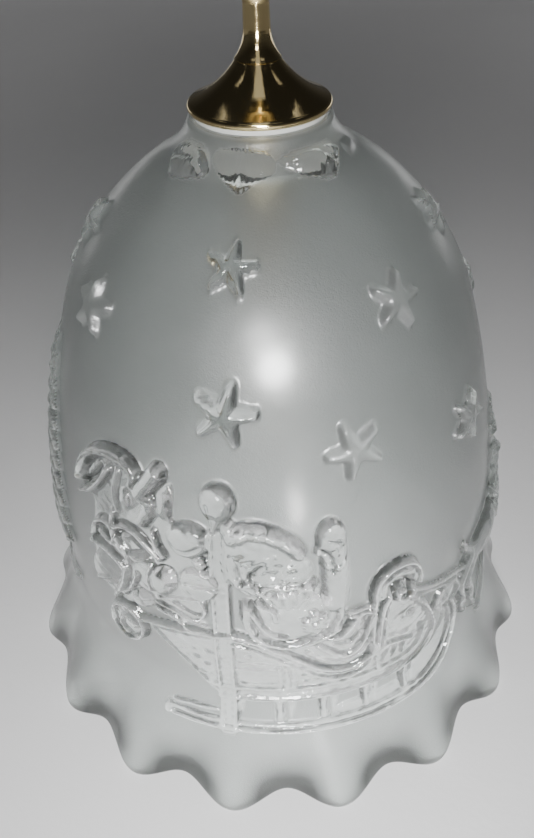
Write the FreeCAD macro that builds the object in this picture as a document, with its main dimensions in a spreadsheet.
import FreeCAD, Part
import Sketcher
import math
import os
import re
from collections import namedtuple

# Hand bell: a pressed glass bell with a fluted, scalloped rim, a turned brass handle clamped through
# its crown, and a ball clapper on a chain. Millimetres, +Z up, origin on the bell's axis in the plane
# that the rim stands on. The bell's front faces -Y.

SIZES = {
    # glass: outer outline, from the rim up to the crown
    "rim_radius": 43.0,
    "rim_wall": 3.0,
    "flare_radius": 36.6,
    "flare_height": 11.0,
    "flare_bend": 18.7,
    "flare_lean": 30.2,
    "waist_radius": 34.0,
    "waist_height": 20.5,
    "body_bend": 142.0,
    "shoulder_radius": 27.0,
    "shoulder_height": 64.5,
    "shoulder_bend": 34.0,
    "shoulder_lean": 18.1,
    "collar_radius": 11.6,
    "collar_height": 83.0,
    "collar_bend": 7.0,
    "crown_radius": 8.4,
    "crown_height": 87.0,
    "crown_wall": 5.0,
    "crown_seat_radius": 8.2,
    "crown_bore": 2.2,
    "glass_wall": 3.0,
    # rim: one scallop and one flute between each pair of crests
    "flute_count": 16,
    "scallop_bend": 11.8,
    "scallop_rise": 2.3,
    "flute_bend": 14.0,
    "flute_foot_radius": 41.4,
    "flute_top_radius": 35.7,
    "flute_top_height": 13.0,
    # ferrule
    "ferrule_radius": 8.5,
    "ferrule_lip": 1.0,
    "ferrule_height": 5.2,
    "ferrule_bend": 12.0,
    "ferrule_wall": 1.3,
    "ferrule_head": 2.0,
    # stem
    "joint_radius": 2.65,
    "joint_chamfer": 0.1,
    "neck_radius": 1.45,
    "neck_flare": 4.8,
    "neck_start": 3.2,
    "neck_end": 5.6,
    "collet_bend": 3.0,
    "collet_radius": 2.5,
    "collet_edge": 0.6,
    "collet_top": 8.2,
    "spigot_radius": 1.2,
    "spigot_length": 4.5,
    # grip, with heights above its foot
    "grip_bead_radius": 2.9,
    "grip_bead_bend": 1.6,
    "grip_bead_top": 3.0,
    "grip_foot_radius": 2.3,
    "grip_swell_radius": 3.8,
    "grip_swell_height": 11.6,
    "grip_swell_bend": 25.4,
    "grip_belly_radius": 5.2,
    "grip_belly_height": 19.6,
    "grip_belly_bend": 23.6,
    "grip_taper_radius": 4.0,
    "grip_taper_height": 31.0,
    "grip_taper_bend": 54.8,
    "grip_head_radius": 2.8,
    "grip_head_height": 42.4,
    "grip_head_bend": 1.2,
    "grip_length": 44.4,
    # finial, with heights above its foot
    "finial_foot_radius": 2.4,
    "finial_foot_edge": 0.5,
    "finial_cove_radius": 1.6,
    "finial_cove_height": 1.7,
    "finial_cove_bend": 1.6,
    "finial_ball_bend": 4.2,
    "finial_ball_top": 9.8,
    "finial_tip_radius": 1.1,
    "finial_tip_bend": 0.8,
    "finial_end_radius": 0.35,
    "finial_length": 11.0,
    # clamp through the crown
    "stud_radius": 1.5,
    "stud_chamfer": 0.3,
    "stud_tail": 3.4,
    "clearance": 0.1,
    "gasket_thickness": 0.6,
    "gasket_radius": 7.7,
    "washer_radius": 7.0,
    "washer_thickness": 1.2,
    "washer_boss": 4.0,
    "washer_dish": 0.5,
    "nut_corner_radius": 3.2,
    "nut_thickness": 2.4,
    "nut_chamfer": 0.35,
    # eye nut that the chain hangs from
    "eye_nut_radius": 2.6,
    "eye_nut_length": 4.8,
    "eye_nut_bore": 3.6,
    "eye_nut_chamfer": 0.4,
    "eye_radius": 2.4,
    "eye_wire": 0.8,
    "eye_drop": 0.2,
    # chain and clapper; a link's reach runs from one end's wire centre to the other's
    "link_count": 5,
    "link_bend": 2.1,
    "link_wire": 0.7,
    "link_reach": 9.0,
    "hang_gap": 0.1,
    "ball_radius": 7.5,
    "ball_gap": 0.3,
    "ball_fit": 0.05,
    "pin_wire": 0.7,
    "pin_head_radius": 2.0,
    "pin_head_thickness": 0.8,
}

# Heights that follow from those sizes
CROWN_UNDERSIDE = "crown_height - crown_wall"
SEAT = "crown_height + gasket_thickness"
JOINT = SEAT + " + ferrule_height"
GRIP_FOOT = JOINT + " + collet_top"
FINIAL_FOOT = GRIP_FOOT + " + grip_length"
WASHER_TOP = CROWN_UNDERSIDE + " - gasket_thickness"
NUT_TOP = WASHER_TOP + " - washer_thickness"
EYE_NUT_TOP = NUT_TOP + " - nut_thickness"
EYE_NUT_BOTTOM = EYE_NUT_TOP + " - eye_nut_length"
STUD_BOTTOM = EYE_NUT_TOP + " - stud_tail"
EYE_CENTRE = EYE_NUT_BOTTOM + " - eye_radius - eye_drop"
FIRST_LINK_TOP = EYE_CENTRE + " - eye_radius + eye_wire + link_wire + hang_gap"
LINK_PITCH = "(link_reach - 2 * link_wire - hang_gap)"
CHAIN_END = FIRST_LINK_TOP + " - (link_count - 1) * " + LINK_PITCH + " - link_reach"
PIN_LOOP_CENTRE = CHAIN_END + " + link_wire + pin_wire + hang_gap - link_bend"
BALL_CENTRE = PIN_LOOP_CENTRE + " - link_bend - pin_wire - ball_gap - ball_radius"
BALL_BOTTOM = BALL_CENTRE + " - ball_radius"

# A corner of a turned outline. bend is the radius of the arc that leads on to the next corner, or ""
# for a straight edge. turn is 1 where that arc turns left on its way, and -1 where it turns right.
Corner = namedtuple("Corner", "radius height bend turn", defaults=("", 1))

doc = FreeCAD.newDocument("hand_bell")
sheet = doc.addObject("Spreadsheet::Sheet", "sizes")
for row, (alias, size) in enumerate(SIZES.items(), 1):
    sheet.set(f"A{row}", alias)
    sheet.set(f"B{row}", str(size))
    sheet.setAlias(f"B{row}", alias)
doc.recompute()


def bound(text):
    """The expression that text stands for, with each name of a size read from the sheet."""
    return re.sub(r"[a-z_]+", lambda m: "sizes." + m[0] if m[0] in SIZES else m[0], text)


def value(text):
    """What an expression comes to now, in millimetres."""
    result = sheet.evalExpression(bound(text))
    return float(getattr(result, "Value", result))


def pin_to_sheet(sketch, name, kind, where, text):
    """Hold one point or radius of a sketch at the size that text gives."""
    at = sketch.addConstraint(Sketcher.Constraint(kind, *where, value(text)))
    sketch.renameConstraint(at, name)
    sketch.setExpression("Constraints." + name, bound(text))


def place_corner(sketch, number, edge, end, corner):
    """Hold an edge's end point at a corner, on the axis where the corner's radius is 0."""
    if value(corner.radius) == 0:
        sketch.addConstraint(Sketcher.Constraint("PointOnObject", edge, end, -2))
    else:
        pin_to_sheet(sketch, f"radius_{number}", "DistanceX", (-1, 1, edge, end), corner.radius)
    if value(corner.height) == 0:
        sketch.addConstraint(Sketcher.Constraint("PointOnObject", edge, end, -1))
    else:
        pin_to_sheet(sketch, f"height_{number}", "DistanceY", (-1, 1, edge, end), corner.height)


def draw_edge(sketch, start, end, corner):
    """Draw one edge of an outline. Returns its number and the numbers of its first and last point."""
    if not corner.bend:
        return sketch.addGeometry(Part.LineSegment(start, end)), 1, 2
    radius = value(corner.bend)
    along = end - start
    left = FreeCAD.Vector(-along.y, along.x, 0).normalize()
    centre = (start + end) / 2 + left * corner.turn * math.sqrt(radius**2 - along.Length**2 / 4)
    first, last = (start, end) if corner.turn > 0 else (end, start)
    angles = [math.atan2(p.y - centre.y, p.x - centre.x) for p in (first, last)]
    if angles[1] < angles[0]:
        angles[1] += 2 * math.pi
    circle = Part.Circle(centre, FreeCAD.Vector(0, 0, 1), radius)
    edge = sketch.addGeometry(Part.ArcOfCircle(circle, *angles))
    return (edge, 1, 2) if corner.turn > 0 else (edge, 2, 1)


def outline_sketch(body, name, corners):
    """A closed outline in the body's own XZ plane, with every corner and arc bound to the sheet."""
    sketch = body.newObject("Sketcher::SketchObject", name)
    plane = [f for f in body.Origin.OriginFeatures if f.Role == "XZ_Plane"][0]
    sketch.AttachmentSupport = (plane, [""])
    sketch.MapMode = "FlatFace"
    points = [FreeCAD.Vector(value(c.radius), value(c.height), 0) for c in corners]
    edges = []
    for corner, start, end in zip(corners, points, points[1:] + points[:1]):
        edges.append(draw_edge(sketch, start, end, corner))
    for (edge, _, last), (following, first, _) in zip(edges, edges[1:] + edges[:1]):
        sketch.addConstraint(Sketcher.Constraint("Coincident", edge, last, following, first))
    for number, (corner, (edge, first, _)) in enumerate(zip(corners, edges)):
        place_corner(sketch, number, edge, first, corner)
        if corner.bend:
            pin_to_sheet(sketch, f"bend_{number}", "Radius", (edge,), corner.bend)
    return sketch


def turned_body(label, corners):
    """A body of revolution about the Z axis."""
    body = doc.addObject("PartDesign::Body", label)
    body.Label = label
    sketch = outline_sketch(body, label + "_outline", corners)
    turned = body.newObject("PartDesign::Revolution", label + "_turned")
    turned.Profile = sketch
    turned.ReferenceAxis = (sketch, ["V_Axis"])
    turned.Angle = 360
    doc.recompute()
    return body


def cut_all_round(body, name, corners, axis_ends, count):
    """Cut a round-section groove about an axis in the XZ plane, and repeat it about the Z axis."""
    sketch = outline_sketch(body, name + "_section", corners)
    ends = [FreeCAD.Vector(value(x), value(z), 0) for x, z in axis_ends]
    axis = sketch.addGeometry(Part.LineSegment(*ends), True)
    for point, (x, z) in enumerate(axis_ends, 1):
        place_corner(sketch, f"axis_{point}", axis, point, Corner(x, z))
    before = body.Shape.Volume
    groove = body.newObject("PartDesign::Groove", name)
    groove.Profile = sketch
    groove.ReferenceAxis = (sketch, ["Axis0"])
    groove.Angle = 360
    doc.recompute()
    if not body.Shape.Volume < before:
        raise RuntimeError(name + " cuts nothing")
    pattern = body.newObject("PartDesign::PolarPattern", name + "_all_round")
    pattern.Originals = [groove]
    upright = [f for f in body.Origin.OriginFeatures if f.Role == "Z_Axis"][0]
    pattern.Axis = (upright, [""])
    pattern.Angle = 360
    pattern.setExpression("Occurrences", bound(count))
    body.Tip = pattern
    doc.recompute()


def primitive(kind, name, height="0", turn=None, **sizes):
    """A Part primitive on the Z axis at a height, turned first by a rotation, its sizes on the sheet."""
    solid = doc.addObject("Part::" + kind, name)
    for size, text in sizes.items():
        solid.setExpression(size, bound(text))
    if turn:
        solid.Placement.Rotation = turn
    solid.setExpression("Placement.Base.z", bound(height))
    return solid


def joined(kind, label, *solids):
    """A boolean of two solids, or a fusion of several, under the sub-part's own name."""
    result = doc.addObject("Part::" + kind, label)
    result.Label = label
    if kind == "MultiFuse":
        result.Shapes = list(solids)
    else:
        result.Base, result.Tool = solids
    doc.recompute()
    return result


def washer(label, top, thickness, radius):
    """A flat washer on the stud, hanging down from a height."""
    bore = "stud_radius + clearance"
    bottom = f"{top} - {thickness}"
    corners = [(bore, bottom), (radius, bottom), (radius, top), (bore, top)]
    return turned_body(label, [Corner(*corner) for corner in corners])


def make_glass_bell():
    lean = "glass_wall * cos(shoulder_lean * 1 deg)"
    drop = "glass_wall * sin(shoulder_lean * 1 deg)"
    flare_in = "glass_wall * cos(flare_lean * 1 deg)"
    flare_down = "glass_wall * sin(flare_lean * 1 deg)"
    outside = [
        Corner("rim_radius - rim_wall", "0"),
        Corner("rim_radius", "0"),
        Corner("flare_radius", "flare_height", "flare_bend", -1),
        Corner("waist_radius", "waist_height", "body_bend"),
        Corner("shoulder_radius", "shoulder_height", "shoulder_bend"),
        Corner("collar_radius", "collar_height", "collar_bend", -1),
        Corner("crown_radius", "crown_height"),
        Corner("crown_bore", "crown_height"),
    ]
    inside = [
        Corner("crown_bore", CROWN_UNDERSIDE),
        Corner("crown_seat_radius", CROWN_UNDERSIDE, "shoulder_bend - glass_wall", -1),
        Corner(f"shoulder_radius - {lean}", f"shoulder_height - {drop}", "body_bend - glass_wall", -1),
        Corner("waist_radius - glass_wall", "waist_height", "flare_bend + glass_wall"),
        Corner(f"flare_radius - {flare_in}", f"flare_height - {flare_down}"),
    ]
    bell = turned_body("glass_bell", outside + inside)

    # Each scallop is a round groove that runs outward under the rim.
    scallop_axis = "scallop_rise - scallop_bend"
    reach = ("rim_radius - 4 * rim_wall", "rim_radius + rim_wall")
    scallop = [
        Corner(reach[0], scallop_axis),
        Corner(reach[1], scallop_axis),
        Corner(reach[1], "scallop_rise"),
        Corner(reach[0], "scallop_rise"),
    ]
    cut_all_round(bell, "scallop", scallop, [(r, scallop_axis) for r in reach], "flute_count")

    # Each flute is a round groove up the outside of the flare. Its floor line runs from as far below
    # the rim as it ends above it, and runs out of the glass at its top.
    run = "(flute_foot_radius - flute_top_radius)"
    slant = f"sqrt({run} ^ 2 + flute_top_height ^ 2)"
    outward = f"flute_bend * flute_top_height / {slant}"
    upward = f"flute_bend * {run} / {slant}"
    floor = [(f"flute_foot_radius + {run}", "-flute_top_height"), ("flute_top_radius", "flute_top_height")]
    axis = [(f"{radius} + {outward}", f"{height} + {upward}") for radius, height in floor]
    flute = [Corner(*floor[0]), Corner(*axis[0]), Corner(*axis[1]), Corner(*floor[1])]
    cut_all_round(bell, "flute", flute, axis, "flute_count")
    return bell


def make_ferrule():
    bore = "stud_radius + clearance"
    under = f"{JOINT} - ferrule_head"
    lip = "ferrule_radius - ferrule_lip / 2"
    wall = "ferrule_radius - ferrule_wall"
    return turned_body("handle_ferrule", [
        Corner(bore, under),
        Corner("joint_radius + ferrule_wall / 4", under),
        Corner(wall, f"{SEAT} + ferrule_lip / 2"),
        Corner(wall, SEAT),
        Corner(lip, SEAT, "ferrule_lip * 0.52"),
        Corner(lip, f"{SEAT} + ferrule_lip", "ferrule_bend", -1),
        Corner("joint_radius", f"{JOINT} - joint_chamfer"),
        Corner("joint_radius - joint_chamfer", JOINT),
        Corner(bore, JOINT),
    ])


def make_stem():
    return turned_body("handle_stem", [
        Corner("0", STUD_BOTTOM),
        Corner("stud_radius - stud_chamfer", STUD_BOTTOM),
        Corner("stud_radius", f"{STUD_BOTTOM} + stud_chamfer"),
        Corner("stud_radius", JOINT),
        Corner("joint_radius - joint_chamfer", JOINT),
        Corner("joint_radius", f"{JOINT} + joint_chamfer", "neck_flare", -1),
        Corner("neck_radius * 1.04", f"{JOINT} + neck_start"),
        Corner("neck_radius", f"{JOINT} + neck_end", "collet_bend", -1),
        Corner("collet_radius", f"{GRIP_FOOT} - collet_edge"),
        Corner("collet_radius", GRIP_FOOT),
        Corner("spigot_radius", GRIP_FOOT),
        Corner("spigot_radius", f"{GRIP_FOOT} + spigot_length"),
        Corner("0", f"{GRIP_FOOT} + spigot_length"),
    ])


def make_grip():
    bore = "spigot_radius + clearance / 2"
    return turned_body("handle_grip", [
        Corner(bore, GRIP_FOOT),
        Corner("grip_bead_radius", GRIP_FOOT, "grip_bead_bend"),
        Corner("grip_bead_radius", f"{GRIP_FOOT} + grip_bead_top"),
        Corner("grip_foot_radius", f"{GRIP_FOOT} + grip_bead_top", "grip_swell_bend", -1),
        Corner("grip_swell_radius", f"{GRIP_FOOT} + grip_swell_height", "grip_belly_bend"),
        Corner("grip_belly_radius", f"{GRIP_FOOT} + grip_belly_height", "grip_taper_bend"),
        Corner("grip_taper_radius", f"{GRIP_FOOT} + grip_taper_height", "grip_taper_bend", -1),
        Corner("grip_head_radius", f"{GRIP_FOOT} + grip_head_height", "grip_head_bend"),
        Corner("grip_head_radius", FINIAL_FOOT),
        Corner(bore, FINIAL_FOOT),
        Corner(bore, f"{FINIAL_FOOT} - spigot_length - clearance"),
        Corner("0", f"{FINIAL_FOOT} - spigot_length - clearance"),
        Corner("0", f"{GRIP_FOOT} + spigot_length + clearance"),
        Corner(bore, f"{GRIP_FOOT} + spigot_length + clearance"),
    ])


def make_finial():
    return turned_body("handle_finial", [
        Corner("0", f"{FINIAL_FOOT} - spigot_length"),
        Corner("spigot_radius", f"{FINIAL_FOOT} - spigot_length"),
        Corner("spigot_radius", FINIAL_FOOT),
        Corner("finial_foot_radius", FINIAL_FOOT),
        Corner("finial_foot_radius", f"{FINIAL_FOOT} + finial_foot_edge", "finial_cove_bend", -1),
        Corner("finial_cove_radius", f"{FINIAL_FOOT} + finial_cove_height", "finial_ball_bend"),
        Corner("finial_tip_radius", f"{FINIAL_FOOT} + finial_ball_top", "finial_tip_bend"),
        Corner("finial_end_radius", f"{FINIAL_FOOT} + finial_length"),
        Corner("0", f"{FINIAL_FOOT} + finial_length"),
    ])


def make_cup_washer():
    bore = "stud_radius + clearance"
    return turned_body("inner_washer", [
        Corner(bore, NUT_TOP),
        Corner("washer_boss", NUT_TOP),
        Corner("washer_radius", f"{NUT_TOP} + washer_dish"),
        Corner("washer_radius", WASHER_TOP),
        Corner(bore, WASHER_TOP),
    ])


def make_nut():
    """A hexagon nut: a turned blank with chamfered corners, common with a hexagonal prism."""
    face = "nut_corner_radius - nut_chamfer"
    blank = turned_body("nut_blank", [
        Corner("stud_radius", EYE_NUT_TOP),
        Corner(face, EYE_NUT_TOP),
        Corner("nut_corner_radius", f"{EYE_NUT_TOP} + nut_chamfer / 2"),
        Corner("nut_corner_radius", f"{NUT_TOP} - nut_chamfer / 2"),
        Corner(face, NUT_TOP),
        Corner("stud_radius", NUT_TOP),
    ])
    prism = primitive(
        "Prism", "nut_prism", EYE_NUT_TOP, Circumradius="nut_corner_radius", Height="nut_thickness"
    )
    prism.Polygon = 6
    return joined("Common", "clamp_nut", blank, prism)


def make_eye_nut():
    """A cap nut on the end of the stud, with a round eye under it in the XZ plane."""
    edge = "eye_nut_radius - eye_nut_chamfer"
    cap = turned_body("eye_nut_cap", [
        Corner("0", EYE_NUT_BOTTOM),
        Corner(edge, EYE_NUT_BOTTOM),
        Corner("eye_nut_radius", f"{EYE_NUT_BOTTOM} + eye_nut_chamfer"),
        Corner("eye_nut_radius", f"{EYE_NUT_TOP} - eye_nut_chamfer"),
        Corner(edge, EYE_NUT_TOP),
        Corner("stud_radius", EYE_NUT_TOP),
        Corner("stud_radius", f"{EYE_NUT_TOP} - eye_nut_bore"),
        Corner("0", f"{EYE_NUT_TOP} - eye_nut_bore"),
    ])
    eye = primitive("Torus", "eye", EYE_CENTRE, UPRIGHT, Radius1="eye_radius", Radius2="eye_wire")
    return joined("MultiFuse", "hanger_eye", cap, eye)


def make_link(number):
    """One oval link of round wire, hung from its own top; every other link is turned a quarter."""
    name = f"chain_link_{number}"
    straight = "(link_reach - 2 * link_bend)"
    bends = {"top": ("-link_bend", UPRIGHT), "bottom": ("link_bend - link_reach", UPSIDE_DOWN)}
    pieces = []
    for end, (height, turn) in bends.items():
        bend = primitive(
            "Torus", f"{name}_{end}", height, turn, Radius1="link_bend", Radius2="link_wire"
        )
        bend.Angle3 = 180
        pieces.append(bend)
    for side, place in (("left", "-link_bend"), ("right", "link_bend")):
        leg = primitive(
            "Cylinder", f"{name}_{side}", "link_bend - link_reach", Radius="link_wire", Height=straight
        )
        leg.setExpression("Placement.Base.x", bound(place))
        pieces.append(leg)
    link = joined("MultiFuse", name, *pieces)
    if number % 2:
        link.Placement.Rotation = FreeCAD.Rotation(UP, 90)
    link.setExpression("Placement.Base.z", bound(f"{FIRST_LINK_TOP} - {number - 1} * {LINK_PITCH}"))
    return link


def make_pin():
    """The wire that carries the ball: a closed loop above it, a shank through it and a head under it."""
    head_bottom = f"{BALL_BOTTOM} - pin_head_thickness"
    loop = primitive(
        "Torus", "pin_loop", PIN_LOOP_CENTRE, UPRIGHT, Radius1="link_bend", Radius2="pin_wire"
    )
    shank_length = f"{PIN_LOOP_CENTRE} - link_bend - ({head_bottom})"
    shank = primitive("Cylinder", "pin_shank", head_bottom, Radius="pin_wire", Height=shank_length)
    head = primitive(
        "Cylinder", "pin_head", head_bottom, Radius="pin_head_radius", Height="pin_head_thickness"
    )
    return joined("MultiFuse", "clapper_pin", loop, shank, head)


def make_ball():
    sphere = primitive("Sphere", "ball_blank", BALL_CENTRE, Radius="ball_radius")
    bore = primitive(
        "Cylinder", "ball_bore", BALL_BOTTOM, Radius="pin_wire + ball_fit", Height="2 * ball_radius"
    )
    return joined("Cut", "clapper_ball", sphere, bore)


UP = FreeCAD.Vector(0, 0, 1)
UPRIGHT = FreeCAD.Rotation(FreeCAD.Vector(1, 0, 0), 90)
UPSIDE_DOWN = FreeCAD.Rotation(FreeCAD.Vector(1, 0, 0), -90)

subparts = [
    make_glass_bell(),
    washer("outer_gasket", SEAT, "gasket_thickness", "gasket_radius"),
    make_ferrule(),
    make_stem(),
    make_grip(),
    make_finial(),
    washer("inner_gasket", CROWN_UNDERSIDE, "gasket_thickness", "gasket_radius"),
    make_cup_washer(),
    make_nut(),
    make_eye_nut(),
    *[make_link(number) for number in range(1, SIZES["link_count"] + 1)],
    make_pin(),
    make_ball(),
]
doc.recompute()

for thing in doc.Objects:
    if {"Invalid", "Error"} & set(thing.State):
        raise RuntimeError(f"{thing.Name} did not build: {thing.State}")
for subpart in subparts:
    if subpart.Shape.isNull() or not subpart.Shape.isValid():
        raise RuntimeError(f"{subpart.Label} has no valid shape")

os.makedirs("parts", exist_ok=True)
for subpart in subparts:
    subpart.Shape.exportStep(f"parts/{subpart.Label}.step")
    box = subpart.Shape.BoundBox
    print(
        f"{subpart.Label:16} {len(subpart.Shape.Solids)} solid {subpart.Shape.Volume:9.1f} mm3"
        f"  z {box.ZMin:7.2f} to {box.ZMax:7.2f}"
    )
